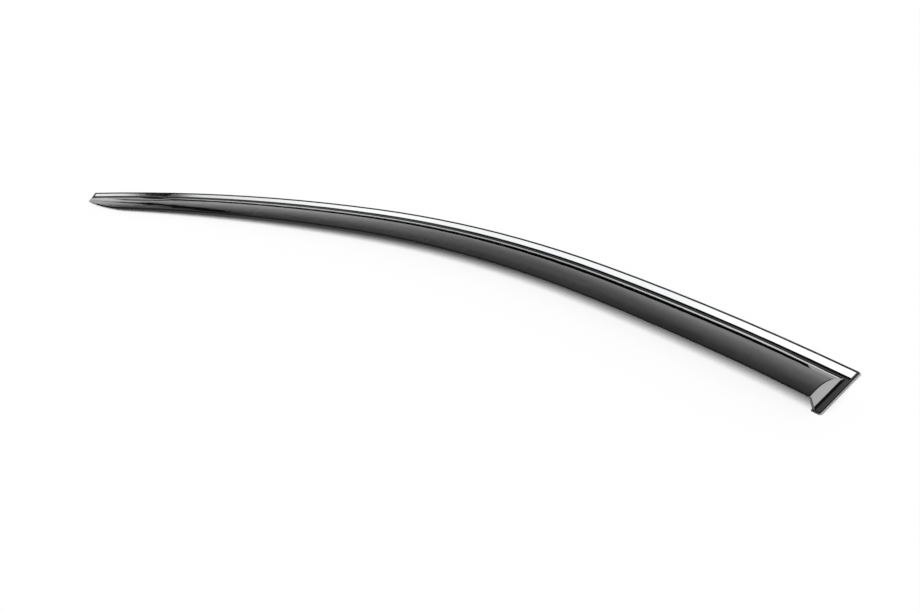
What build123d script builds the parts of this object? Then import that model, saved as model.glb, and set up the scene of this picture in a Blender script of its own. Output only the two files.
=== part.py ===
from build123d import *
import math
import os

# Window rain deflector for the left front door, lying on its mounting side
# Lengths are in millimetres, angles in degrees
# X runs rearward along the chord of the top edge, Y up the door, Z away from the door
# Z is zero on the back of the adhesive tape

# Top edge in plan, three tangent arcs from the rear corner to the tip
rear_run_length = 300
rear_run_radius = 2260
shoulder_length = 325
shoulder_radius = 1120
front_run_length = 450
front_run_radius = 1970

# Blade, measured inward from the top edge and up from the mounting plane
wall = 2.5
blade_width = 77.8
tip_width = 34.8
width_taper_power = 2.2
stand_off = 25.7
tip_stand_off = 5.0
height_taper_power = 2.2

# Shares of the blade's span, rise and thickness that shape its section curves
lift_share = 0.23
lift_rise_share = 0.465
flat_share = 0.53
crown_share = 0.16
inner_shift_share = 0.6
inner_drop_share = 0.8

# Flange along the top edge, with a seat for the bright strip
flange_width = 19.9
rim = 2.8
rim_rounding = 1.2
seat_depth = 1.0
strip_width = 10.3
tip_strip_width = 5.5
strip_thickness = 0.45
strip_rounding = 0.2
strip_fit = 0.1
gutter_width = 3.4
gutter_drop = 0.8
gutter_lap = 1.0
root_setback = 0.5
root_sink = 0.3

# Rear end, where a leaning wall closes the blade and a foot reaches past it
end_angle = 81.5
foot_width = 5.8
foot_margin = 2.4
foot_corner = 3.0
flange_corner = 1.8
wall_lean = 20.5
wall_setback = 1.0
arch_rounding = 1.2

# Rounded nose in front of the tip
tip_setback = 0.45
nose_root = 21.4
nose_length = 95.0
nose_pull = 35.0
nose_depth = 40.9
nose_overshoot = 3.0

# Adhesive tape on the back
tape = 1.0
tape_width = 10.0
tape_margin = 4.9
tape_end_gap = 6.0
foot_tape_width = 6.5
foot_tape_gap = 4.0

# Sizes that follow from the driving ones
runs = [
    (rear_run_length, rear_run_radius),
    (shoulder_length, shoulder_radius),
    (front_run_length, front_run_radius),
]
edge_length = rear_run_length + shoulder_length + front_run_length
overrun = 8.0
flange_top = tape + wall
seat_floor = flange_top - seat_depth
strip_top = seat_floor + strip_thickness
seat_rounding = min(0.9 * (rim - rim_rounding), 0.8 * seat_depth)
strip_outer = rim + strip_fit
root_height = flange_top - root_sink
edge_reach = 0.6 * wall
edge_fall = 0.76 * wall
foot_reach = blade_width - foot_margin
foot_depth = foot_width + 1.3 * wall
far = 4 * blade_width


def top_edge(distance):
    """Point and heading of the top edge at a distance from the rear corner."""
    point = Vector(0, 0, 0)
    heading = math.pi
    left = distance
    for length, radius in runs:
        step = min(left, length)
        centre = point + Vector(-math.sin(heading), math.cos(heading), 0) * radius
        heading = heading + step / radius
        point = centre + Vector(math.sin(heading), -math.cos(heading), 0) * radius
        left = left - step
    return point, heading


def at(distance, inset):
    """Plan point at an inset from the top edge, towards the free edge."""
    point, heading = top_edge(distance)
    return point + Vector(-math.sin(heading), math.cos(heading), 0) * inset


def inset_at(inset, distance):
    """Value of an inset that is fixed or changes with the distance."""
    return inset(distance) if callable(inset) else inset


def edge_arcs(first, last, inset):
    """Plan arcs along the top edge at an inset, one for each run."""
    breaks = [first]
    for distance in (rear_run_length, rear_run_length + shoulder_length):
        if first < distance < last:
            breaks.append(distance)
    breaks.append(last)
    arcs = []
    for start, end in zip(breaks, breaks[1:]):
        distances = (start, 0.5 * (start + end), end)
        arcs.append(ThreePointArc(*[at(d, inset_at(inset, d)) for d in distances]))
    return arcs


def band(first, last, outer, inner):
    """Plan face between two insets, from one distance to another."""
    edges = edge_arcs(first, last, outer) + edge_arcs(first, last, inner)
    for distance in (first, last):
        edges.append(Line(at(distance, inset_at(outer, distance)), at(distance, inset_at(inner, distance))))
    return make_face(edges)


# The end line leaves the rear corner, so its own axes start there
end_line = Rot(0, 0, end_angle - 90)


def behind(offset):
    """Plan face of everything rearward of the end line, moved in by an offset."""
    return end_line * Pos(-offset, 0) * Rectangle(far, far, align=(Align.MIN, Align.CENTER))


def tapered(rear_size, tip_size, power, distance):
    """Size that goes from its value at the rear to its value at the tip."""
    share = max(distance, 0) / edge_length
    return rear_size - (rear_size - tip_size) * share**power


def blade_size(distance):
    """Width and height of the free edge at a distance from the rear corner."""
    width = tapered(blade_width, tip_width, width_taper_power, distance)
    height = tapered(stand_off, tip_stand_off, height_taper_power, distance)
    return width, height


def strip_inner(distance):
    """Inset of the strip's inner side."""
    return strip_outer + tapered(strip_width, tip_strip_width, 1, distance)


def seat_inner(distance):
    """Inset of the seat's inner side, where the gutter begins."""
    return strip_inner(distance) + strip_fit


def root_inset(distance):
    """Inset where the blade leaves the flange, past the gutter."""
    return seat_inner(distance) + gutter_width + root_setback


def blade_curve(distance, depth):
    """Section curve of the blade at a depth below its outer face."""
    width, height = blade_size(distance)
    root = root_inset(distance)
    span = width - root
    rise = height - root_height
    start = root + inner_shift_share * depth
    start_height = root_height - inner_drop_share * depth
    return Bezier(
        (start, start_height),
        (start + lift_share * span, start_height + lift_rise_share * rise),
        (width - flat_share * span, height + crown_share * rise - depth),
        (width, height - depth),
    )


def section_plane(distance):
    """Plane across the top edge, its own x pointing inward and its y up."""
    point, heading = top_edge(distance)
    inward = (-math.sin(heading), math.cos(heading), 0)
    forward = (math.cos(heading), math.sin(heading), 0)
    return Plane(origin=point, x_dir=inward, z_dir=forward)


def blade_section(distance):
    """Closed section of the blade, with a rounded free edge."""
    width, height = blade_size(distance)
    outer = blade_curve(distance, 0)
    inner = blade_curve(distance, wall)
    edge_end = (width + edge_reach, height - edge_fall)
    free_edge = TangentArc(outer @ 1, edge_end, tangent=outer % 1)
    lip = Line(edge_end, inner @ 1)
    closing = Line(outer @ 0, inner @ 0)
    return section_plane(distance) * make_face([outer, free_edge, lip, inner, closing])


def gutter_section(distance):
    """Section of the gutter, which falls from the seat towards the blade."""
    start = seat_inner(distance) - gutter_lap
    end = seat_inner(distance) + gutter_width
    low = seat_floor - gutter_drop
    top = flange_top + wall
    corners = [(start, strip_top), (end, low), (end, top), (start, top)]
    return section_plane(distance) * make_face(Polyline(*corners, close=True))


def filled_section(distance):
    """Section of the space under the middle of the blade, down into the foot."""
    middle = blade_curve(distance, 0.5 * wall)
    corner = Vector((middle @ 1).X - foot_margin - wall_setback, tape + 0.3 * wall)
    side = Line(middle @ 1, corner)
    base = Line(corner, ((middle @ 0).X, corner.Y))
    closing = Line(base @ 1, middle @ 0)
    return section_plane(distance) * make_face([middle, side, base, closing])


def loft_along(section, last):
    """Solid through even stations along the top edge, from behind the rear corner."""
    stations = 14
    step = (last + overrun) / (stations - 1)
    return loft([section(-overrun + step * i) for i in range(stations)])


# Flat plate with a rounded outline, opened between flange and foot
plan = band(-overrun, edge_length, 0, foot_reach) - behind(0)
plan = fillet(plan.vertices().sort_by_distance(at(0, 0))[0], flange_corner)
plan = fillet(plan.vertices().sort_by_distance(at(edge_length, 0))[0], flange_corner)
plan = fillet(plan.vertices().sort_by_distance(at(0, foot_reach))[0], foot_corner)
plate = Pos(0, 0, tape) * extrude(plan, wall)
plate = fillet(plate.faces().sort_by(Axis.Z)[-1].edges(), rim_rounding)
opening = band(-overrun, edge_length + overrun, flange_width, blade_width) - behind(foot_depth)
plate = plate - extrude(opening, stand_off)

# Seat for the strip and a gutter beside it, inside a rim that is rounded on both sides
seat_plan = band(-overrun, edge_length - rim, rim, seat_inner) - behind(rim)
plate = plate - Pos(0, 0, seat_floor) * extrude(seat_plan, wall)
plate = plate - (loft_along(gutter_section, edge_length - rim) - extrude(behind(rim), stand_off))
rim_edges = []
for distance in (2 * rim, rear_run_length + 0.5 * shoulder_length, edge_length - 2 * rim):
    rim_point = at(distance, rim) + Vector(0, 0, flange_top)
    rim_edges.append(plate.edges().sort_by_distance(rim_point)[0])
plate = fillet(rim_edges, seat_rounding)

# Blade through even stations, cut off along the leaning wall
blade = loft_along(blade_section, edge_length - tip_setback)
lean = end_line * Pos(-foot_width, 0, flange_top) * Rot(0, -wall_lean, 0)
blade = blade - lean * Box(far, far, far, align=(Align.MIN, Align.CENTER, Align.CENTER))

# Nose, trimmed by a curve that leaves the tip and runs out past the free edge
nose_edge = blade_size(edge_length - nose_length)[0] + nose_overshoot
tip_heading = top_edge(edge_length)[1]
ahead = Vector(math.cos(tip_heading), math.sin(tip_heading), 0) * overrun
nose_curve = Bezier(
    at(edge_length, nose_root),
    at(edge_length - nose_pull, nose_depth),
    at(edge_length - nose_length, nose_edge),
)
nose_rest = Polyline(
    at(edge_length - nose_length, nose_edge),
    at(edge_length - nose_length, blade_width),
    at(edge_length, blade_width) + ahead,
    at(edge_length, nose_root) + ahead,
    at(edge_length, nose_root),
)
nose = extrude(make_face([nose_curve, *nose_rest.edges()]), 2 * stand_off)
blade = blade - nose

# Rear wall under the end of the blade
space = loft([filled_section(distance) for distance in (-overrun, blade_width, 2 * blade_width)])
rear_wall = space & lean * Box(wall, far, far, align=(Align.MAX, Align.CENTER, Align.CENTER))
shell = blade + rear_wall
outward = (lean * Pos(1, 0, 0)).position - lean.position
end_face = shell.faces().sort_by(lambda face: face.normal_at().dot(outward))[-1]
arch = end_face.edges().sort_by(SortBy.LENGTH)[-1]
shell = fillet(arch, arch_rounding)
body = plate + shell

# Bright strip in its seat
strip_plan = band(-overrun, edge_length - strip_outer, strip_outer, strip_inner)
strip_plan = strip_plan - behind(strip_outer)
strip = Pos(0, 0, seat_floor) * extrude(strip_plan, strip_thickness)
strip = fillet(strip.faces().sort_by(Axis.Z)[-1].edges(), strip_rounding)

# Tape under the flange and under the foot
tape_inner = tape_margin + tape_width
tape_plan = band(-overrun, edge_length - tape_end_gap, tape_margin, tape_inner)
flange_tape = extrude(tape_plan - behind(tape_end_gap), tape)
foot_tape_start = flange_width + foot_tape_gap
foot_tape_length = foot_reach - foot_corner - foot_tape_start
foot_tape_plan = Rectangle(foot_tape_width, foot_tape_length)
foot_tape_middle = Pos(-0.5 * foot_depth, -foot_tape_start - 0.5 * foot_tape_length)
foot_tape = extrude(end_line * foot_tape_middle * foot_tape_plan, tape)

# The chord of the top edge turns onto X, with the origin in the middle of the flange tape
chord = at(0, 0) - at(edge_length, 0)
turn = Rot(0, 0, -math.degrees(math.atan2(chord.Y, chord.X)))
seat_middle = at(0.5 * edge_length, tape_margin + 0.5 * tape_width)
place = turn * Pos(-seat_middle.X, -seat_middle.Y, 0)

os.makedirs("parts", exist_ok=True)
export_step(place * body, "parts/visor_body.step")
export_step(place * strip, "parts/bright_strip.step")
export_step(place * flange_tape, "parts/flange_tape.step")
export_step(place * foot_tape, "parts/foot_tape.step")
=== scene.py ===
import math

import bpy
from mathutils import Matrix, Vector

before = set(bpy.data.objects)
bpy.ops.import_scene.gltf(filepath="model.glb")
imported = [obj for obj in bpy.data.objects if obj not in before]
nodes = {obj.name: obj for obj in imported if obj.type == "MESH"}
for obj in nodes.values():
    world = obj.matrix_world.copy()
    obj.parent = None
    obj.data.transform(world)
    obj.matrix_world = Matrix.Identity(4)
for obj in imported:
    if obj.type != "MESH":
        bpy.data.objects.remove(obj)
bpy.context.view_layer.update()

# Camera of the photograph, in metres and degrees, in the part's own frame
image_width = 920
focal_pixels = 708.1
sensor_width = 36.0
clip_start = 0.01
camera_place = Vector((0.3575, -0.6531, 0.6168))
camera_azimuth = 27.2
camera_elevation = 46.39
camera_roll = 6.46

# Top edge in plan, in metres: length and radius of each run from the rear corner
edge_runs = ((0.300, 2.260), (0.325, 1.120), (0.450, 1.970))
edge_length = sum(length for length, radius in edge_runs)
seat_inset = 0.0099
end_angle = 81.5

# Lamp and even light, their levels as shares of plain white, the spread in degrees
floor_irradiance = 1.0
ambient_level = 0.12
key_direction = Vector((-0.6, -0.42, 1.0))
key_spread = 36.0

# Floor in metres, with what the camera and gloss see on top of its plain colour; behind the rear end
# gloss sees a painted glow, which puts a painted reflection into the rear wall
floor_reach = 30.0
floor_colour = (0.97, 0.97, 0.97, 1.0)
floor_white_extra = 0.03
floor_gloss_extra = 0.4
# Painted glow behind the rear end, which only gloss sees
painted_glow_rear = 2.2
painted_glow_start = -0.002
painted_glow_end = 0.004

# Black cards on the floor that only gloss sees, which put painted dark reflections along the part; in
# metres along and across the top edge, gap and spread per metre
card_steps = 60
card_height = 0.0003
back_card_start = 0.048
back_card_gap = 0.02
back_card_width = 0.10
back_card_spread = 1.1
front_card_start = 0.03
front_card_near = 0.03
front_card_far = 0.30

# Materials: colours, least and most roughness, and the noise that mixes them
noise_range = (0.3, 0.7)
acrylic_colour = (0.003, 0.003, 0.003, 1.0)
acrylic_index = 1.49
acrylic_roughness = (0.025, 0.06)
acrylic_haze = {"Scale": 60.0, "Detail": 4.0}
plating_colour = (0.93, 0.94, 0.95, 1.0)
plating_roughness = (0.05, 0.1)
plating_haze = {"Scale": 120.0, "Detail": 3.0}
foam_shades = (0.06, 0.12)
foam_roughness = 0.9
foam_pores = {"Scale": 900.0, "Detail": 5.0}
foam_bump = {"Strength": 0.4, "Distance": 0.0003}
black = (0.0, 0.0, 0.0, 1.0)
white = (1.0, 1.0, 1.0, 1.0)

# Levels of the surroundings that gloss shows, as shares of plain white
screen_level = 1.75
horizon_level = 1.36
panel_level = 3.2
panel_top_level = 0.75
left_level = 0.7
room_level = 0.06
room_band_level = 0.75
overhead_level = 1.0
dark_level = 0.05

# Duller parts of the screen, as shares of its own level
screen_dip_share = 0.68
screen_top_share = 0.86
screen_end_share = 0.05

# Angles of these surroundings, in degrees to the right of straight ahead
screen_angle = 37.0
dip_angles = (-8.0, 10.0, 16.0, 34.0)
panel_angles = (-24.5, -23.0)
left_angles = (-48.0, -38.0)
gap_angles = (-28.5, -26.5, -25.0, -22.5)
screen_end_angles = (50.0, 60.0)
streak_angle = -16.7

# Heights of these surroundings, as the upward share of a direction
dip_heights = (0.5, 0.64)
horizon_heights = (0.0, 0.12)
panel_heights = (0.40, 0.52)
gap_heights = (0.27, 0.36)
room_band_heights = (0.12, 0.22, 0.45, 0.55)
overhead_heights = (0.65, 0.78)
streak_edges = (0.025, 0.045)

# Height over the share towards the screen, and height over angle along the streak
screen_steepness = (0.3, 2.1)
least_towards = 0.01
streak_slope = -1.4

# Shares of a direction straight ahead, negative on the camera's side, and across the part
front_shares = (0.0, 0.3)
behind_shares = (-0.2, 0.0)
overhead_breadth = (0.09, 0.13)


def edge_point(distance, inset):
    """Plan point at an inset from the top edge, in axes of its own."""
    point = Vector((0, 0))
    heading = math.pi
    left = distance
    for length, radius in edge_runs:
        step = min(left, length)
        point = point + Vector((-math.sin(heading), math.cos(heading))) * radius
        heading = heading + step / radius
        point = point + Vector((math.sin(heading), -math.cos(heading))) * radius
        left = left - step
    return point + Vector((-math.sin(heading), math.cos(heading))) * inset


edge_chord = edge_point(0, 0) - edge_point(edge_length, 0)
edge_turn = -math.atan2(edge_chord.y, edge_chord.x)
edge_middle = edge_point(0.5 * edge_length, seat_inset)


def plan_point(distance, inset):
    """The same point in the part's frame."""
    return Matrix.Rotation(edge_turn, 2) @ (edge_point(distance, inset) - edge_middle)


def view_axes():
    """Right, up and backward axes of the camera."""
    azimuth = math.radians(camera_azimuth)
    elevation = math.radians(camera_elevation)
    roll = math.radians(camera_roll)
    level_right = Vector((math.cos(azimuth), math.sin(azimuth), 0))
    ahead = Vector((-math.sin(azimuth), math.cos(azimuth), 0))
    forward = ahead * math.cos(elevation) - Vector((0, 0, 1)) * math.sin(elevation)
    level_up = level_right.cross(forward)
    right = level_right * math.cos(roll) - level_up * math.sin(roll)
    up = level_right * math.sin(roll) + level_up * math.cos(roll)
    return right, up, -forward


def make_camera():
    """Camera at the photograph's viewing angle."""
    data = bpy.data.cameras.new("camera")
    data.sensor_width = sensor_width
    data.lens = focal_pixels / image_width * sensor_width
    data.clip_start = clip_start
    camera = bpy.data.objects.new("camera", data)
    right, up, back = view_axes()
    turn = Matrix((right, up, back)).transposed().to_4x4()
    camera.matrix_world = Matrix.Translation(camera_place) @ turn
    bpy.context.scene.collection.objects.link(camera)
    bpy.context.scene.camera = camera


class Graph:
    """A short way to add and link shader nodes."""

    def __init__(self, tree):
        self.tree = tree
        tree.nodes.clear()

    def add(self, kind, settings=None, inputs=None):
        """Add a node, set its properties, and fill or link its inputs."""
        node = self.tree.nodes.new(kind)
        for name, value in (settings or {}).items():
            setattr(node, name, value)
        for name, value in (inputs or {}).items():
            socket = node.inputs[name]
            if isinstance(value, bpy.types.NodeSocket):
                self.tree.links.new(value, socket)
            else:
                socket.default_value = value
        return node

    def math(self, operation, first, second=0.0):
        """Output of a math node."""
        node = self.add("ShaderNodeMath", {"operation": operation}, {0: first, 1: second})
        return node.outputs[0]

    def product(self, first, second):
        """Two values multiplied."""
        return self.math("MULTIPLY", first, second)

    def largest(self, *values):
        """Largest of several values."""
        result = values[0]
        for value in values[1:]:
            result = self.math("MAXIMUM", result, value)
        return result

    def ramp(self, value, low, high, start, end):
        """Smooth change from start to end as the value goes from low to high."""
        inputs = {"Value": value, "From Min": low, "From Max": high, "To Min": start, "To Max": end}
        node = self.add("ShaderNodeMapRange", {"interpolation_type": "SMOOTHSTEP"}, inputs)
        return node.outputs["Result"]

    def turn(self, side, low, high, start, end):
        """Smooth change over a sideways angle, its limits in degrees."""
        return self.ramp(side, math.radians(low), math.radians(high), start, end)

    def mix(self, share, first, second):
        """First value at share 0, second at share 1."""
        inputs = {"Value": share, "To Min": first, "To Max": second}
        return self.add("ShaderNodeMapRange", inputs=inputs).outputs["Result"]

    def dot(self, vector, direction):
        """Share of a vector along a direction."""
        node = self.add("ShaderNodeVectorMath", {"operation": "DOT_PRODUCT"}, {0: vector, 1: direction})
        return node.outputs["Value"]


def new_material(name):
    """Empty node material with its graph."""
    material = bpy.data.materials.new(name)
    material.use_nodes = True
    return material, Graph(material.node_tree)


def finish_material(graph, shader):
    """Link a shader to the surface."""
    graph.add("ShaderNodeOutputMaterial", inputs={"Surface": shader.outputs[0]})


def smoked_acrylic():
    """Polished, almost black acrylic with a faint unevenness."""
    material, graph = new_material("smoked_acrylic")
    place = graph.add("ShaderNodeTexCoord").outputs["Object"]
    haze = graph.add("ShaderNodeTexNoise", inputs={"Vector": place, **acrylic_haze})
    roughness = graph.ramp(haze.outputs["Fac"], *noise_range, *acrylic_roughness)
    shader = graph.add("ShaderNodeBsdfPrincipled", inputs={
        "Base Color": acrylic_colour,
        "IOR": acrylic_index,
        "Roughness": roughness,
    })
    finish_material(graph, shader)
    return material


def bright_trim():
    """Polished plating with a faint unevenness."""
    material, graph = new_material("bright_trim")
    place = graph.add("ShaderNodeTexCoord").outputs["Object"]
    haze = graph.add("ShaderNodeTexNoise", inputs={"Vector": place, **plating_haze})
    roughness = graph.ramp(haze.outputs["Fac"], *noise_range, *plating_roughness)
    shader = graph.add("ShaderNodeBsdfPrincipled", inputs={
        "Base Color": plating_colour,
        "Metallic": 1.0,
        "Roughness": roughness,
    })
    finish_material(graph, shader)
    return material


def foam_tape():
    """Matt grey foam with fine pores."""
    material, graph = new_material("foam_tape")
    place = graph.add("ShaderNodeTexCoord").outputs["Object"]
    pores = graph.add("ShaderNodeTexNoise", inputs={"Vector": place, **foam_pores})
    shade = graph.ramp(pores.outputs["Fac"], *noise_range, *foam_shades)
    colour = graph.add("ShaderNodeCombineColor", inputs={"Red": shade, "Green": shade, "Blue": shade})
    bump = graph.add("ShaderNodeBump", inputs={"Height": pores.outputs["Fac"], **foam_bump})
    shader = graph.add("ShaderNodeBsdfPrincipled", inputs={
        "Base Color": colour.outputs["Color"],
        "Roughness": foam_roughness,
        "Normal": bump.outputs["Normal"],
    })
    finish_material(graph, shader)
    return material


def painted_rear_glow(graph):
    """Painted glow that only gloss sees on top of the floor, stronger behind the rear end, so the rear
    wall shows a painted reflection.
    """
    place = graph.add("ShaderNodeTexCoord").outputs["Object"]
    end_turn = math.radians(end_angle - 90) + edge_turn
    outward = Vector((math.cos(end_turn), math.sin(end_turn)))
    corner = plan_point(0, 0).dot(outward)
    along = graph.dot(place, (outward.x, outward.y, 0))
    start = corner + painted_glow_start
    end = corner + painted_glow_end
    return graph.ramp(along, start, end, floor_gloss_extra, painted_glow_rear)


def floor_material():
    """Matt white, evenly brighter to gloss than to the eye, with a painted glow behind the rear end
    that only gloss sees.
    """
    material, graph = new_material("floor")
    matt = graph.add("ShaderNodeBsdfDiffuse", inputs={"Color": floor_colour})
    path = graph.add("ShaderNodeLightPath")
    # Painted glow for gloss rays, stronger behind the rear end
    to_gloss = graph.product(path.outputs["Is Glossy Ray"], painted_rear_glow(graph))
    to_eye = graph.math("ADD", path.outputs["Is Camera Ray"], path.outputs["Is Transmission Ray"])
    extra = graph.math("ADD", to_gloss, graph.product(to_eye, floor_white_extra))
    glow = graph.add("ShaderNodeEmission", inputs={"Color": floor_colour, "Strength": extra})
    shader = graph.add("ShaderNodeAddShader", inputs={0: matt.outputs[0], 1: glow.outputs[0]})
    finish_material(graph, shader)
    return material


def add_stage(name, corners, faces, material):
    """Mesh that belongs to the stage, not to the part."""
    mesh = bpy.data.meshes.new(name)
    mesh.from_pydata(corners, [], faces)
    mesh.materials.append(material)
    thing = bpy.data.objects.new(name, mesh)
    bpy.context.scene.collection.objects.link(thing)
    return thing


def make_floor():
    """Plain white floor under the part."""
    corners = []
    for x, y in ((-1, -1), (1, -1), (1, 1), (-1, 1)):
        corners.append((x * floor_reach, y * floor_reach, 0))
    add_stage("floor", corners, [(0, 1, 2, 3)], floor_material())


def painted_back_reflection(distance):
    """Insets of the card for a painted dark reflection behind the top edge, which widens towards the
    tip.
    """
    width = back_card_width + back_card_spread * (distance - back_card_start)
    return -back_card_gap * distance, -width


def painted_front_reflection(distance):
    """Insets of the card for a painted dark reflection under and in front of the blade, the same all
    along.
    """
    return front_card_near, front_card_far


def make_painted_reflection(name, insets, first):
    """Black card on the floor along the part, which only gloss shows: a painted dark reflection."""
    material, graph = new_material(name)
    finish_material(graph, graph.add("ShaderNodeBsdfDiffuse", inputs={"Color": black}))
    corners = []
    for i in range(card_steps + 1):
        distance = first + (edge_length - first) * i / card_steps
        for inset in insets(distance):
            corners.append((*plan_point(distance, inset), card_height))
    faces = [(2 * i, 2 * i + 1, 2 * i + 3, 2 * i + 2) for i in range(card_steps)]
    card = add_stage(name, corners, faces, material)
    # Hidden from the camera, from matt light and from shadows, so the card is only a painted reflection
    card.visible_camera = False
    card.visible_diffuse = False
    card.visible_transmission = False
    card.visible_shadow = False


def level_direction(degrees):
    """Level direction at an angle to the right of straight away from the camera."""
    angle = math.radians(camera_azimuth - degrees)
    return (-math.sin(angle), math.cos(angle), 0)


def screen_glow(graph, direction, height, side):
    """Bright screen that fades upwards, with a duller part in its middle."""
    towards = graph.dot(direction, level_direction(screen_angle))
    steepness = graph.math("DIVIDE", height, graph.largest(towards, least_towards))
    glow = graph.ramp(steepness, *screen_steepness, screen_level, dark_level)
    dip_left = graph.turn(side, *dip_angles[:2], 1.0, screen_dip_share)
    dip_right = graph.turn(side, *dip_angles[2:], screen_dip_share, 1.0)
    dip_top = graph.ramp(height, *dip_heights, screen_dip_share, screen_top_share)
    return graph.product(glow, graph.largest(dip_left, dip_right, dip_top))


def gap_share(graph, height, side):
    """Share of light left by the dark gap between the screen and the panel on its left."""
    left = graph.turn(side, *gap_angles[:2], 1.0, 0.0)
    right = graph.turn(side, *gap_angles[2:], 0.0, 1.0)
    under = graph.ramp(height, *gap_heights, 1.0, 0.0)
    return graph.largest(right, left, under)


def streak_share(graph, height, side):
    """Share of light left by a slanted dark streak across the left part of the screen."""
    middle = graph.product(graph.math("SUBTRACT", side, math.radians(streak_angle)), streak_slope)
    away = graph.math("ABSOLUTE", graph.math("SUBTRACT", height, middle))
    return graph.ramp(away, *streak_edges, 0.0, 1.0)


def room_glow(graph, height):
    """Dim room on the camera's side, with a lighter band around it."""
    bottom = graph.ramp(height, *room_band_heights[:2], 0.0, room_band_level - room_level)
    top = graph.ramp(height, *room_band_heights[2:], 1.0, 0.0)
    return graph.math("ADD", graph.product(bottom, top), room_level)


def overhead_share(graph, direction, height):
    """Share of the long narrow light that runs over the part."""
    across = graph.math("ABSOLUTE", graph.dot(direction, (0, 1, 0)))
    narrow = graph.ramp(across, *overhead_breadth, 1.0, 0.0)
    return graph.product(narrow, graph.ramp(height, *overhead_heights, 0.0, 1.0))


def surroundings(graph):
    """What gloss sees above the floor: a screen, a panel on its left, and the rest of the room."""
    direction = graph.add("ShaderNodeTexCoord").outputs["Generated"]
    height = graph.dot(direction, (0, 0, 1))
    ahead = graph.dot(direction, level_direction(0))
    right = graph.dot(direction, level_direction(90))
    side = graph.math("ARCTAN2", right, ahead)
    in_front = graph.ramp(ahead, *front_shares, 0.0, 1.0)
    light = screen_glow(graph, direction, height, side)
    low_share = graph.product(graph.ramp(height, *horizon_heights, 1.0, 0.0), in_front)
    light = graph.mix(low_share, light, horizon_level)
    panel_share = graph.product(graph.turn(side, *panel_angles, 1.0, 0.0), in_front)
    panel = graph.ramp(height, *panel_heights, panel_level, panel_top_level)
    panel = graph.mix(graph.turn(side, *left_angles, 1.0, 0.0), panel, left_level)
    light = graph.mix(panel_share, light, panel)
    light = graph.product(light, graph.turn(side, *screen_end_angles, 1.0, screen_end_share))
    light = graph.product(light, gap_share(graph, height, side))
    light = graph.product(light, graph.largest(streak_share(graph, height, side), panel_share))
    light = graph.mix(graph.ramp(ahead, *behind_shares, 1.0, 0.0), light, room_glow(graph, height))
    return graph.mix(overhead_share(graph, direction, height), light, overhead_level)


def make_world():
    """Even light for matt surfaces, white for the camera, and the surroundings for gloss."""
    world = bpy.data.worlds.new("studio")
    bpy.context.scene.world = world
    world.use_nodes = True
    graph = Graph(world.node_tree)
    path = graph.add("ShaderNodeLightPath")
    to_gloss = graph.product(path.outputs["Is Glossy Ray"], surroundings(graph))
    to_matt = graph.product(path.outputs["Is Diffuse Ray"], ambient_level)
    to_eye = graph.math("ADD", path.outputs["Is Camera Ray"], path.outputs["Is Transmission Ray"])
    strength = graph.math("ADD", graph.math("ADD", to_gloss, to_matt), to_eye)
    light = graph.add("ShaderNodeBackground", inputs={"Color": white, "Strength": strength})
    graph.add("ShaderNodeOutputWorld", inputs={"Surface": light.outputs[0]})


def make_key():
    """Large soft lamp overhead, on the camera's side and towards the tip."""
    data = bpy.data.lights.new("key", "SUN")
    towards = key_direction.normalized()
    data.energy = (floor_irradiance - ambient_level) / towards.z * math.pi
    data.angle = math.radians(key_spread)
    lamp = bpy.data.objects.new("key", data)
    lamp.rotation_euler = towards.to_track_quat("Z", "Y").to_euler()
    lamp.visible_glossy = False
    bpy.context.scene.collection.objects.link(lamp)


make_camera()
make_floor()
# Black cards that only gloss sees, for painted dark reflections
make_painted_reflection("painted_back_reflection", painted_back_reflection, back_card_start)
make_painted_reflection("painted_front_reflection", painted_front_reflection, front_card_start)
make_world()
make_key()

# Materials of the pieces
tape_finish = foam_tape()
finishes = {
    "visor_body": smoked_acrylic(),
    "bright_strip": bright_trim(),
    "flange_tape": tape_finish,
    "foot_tape": tape_finish,
}
for name, node in nodes.items():
    node.data.materials.clear()
    node.data.materials.append(finishes[name])

bpy.context.scene.view_settings.view_transform = "Standard"
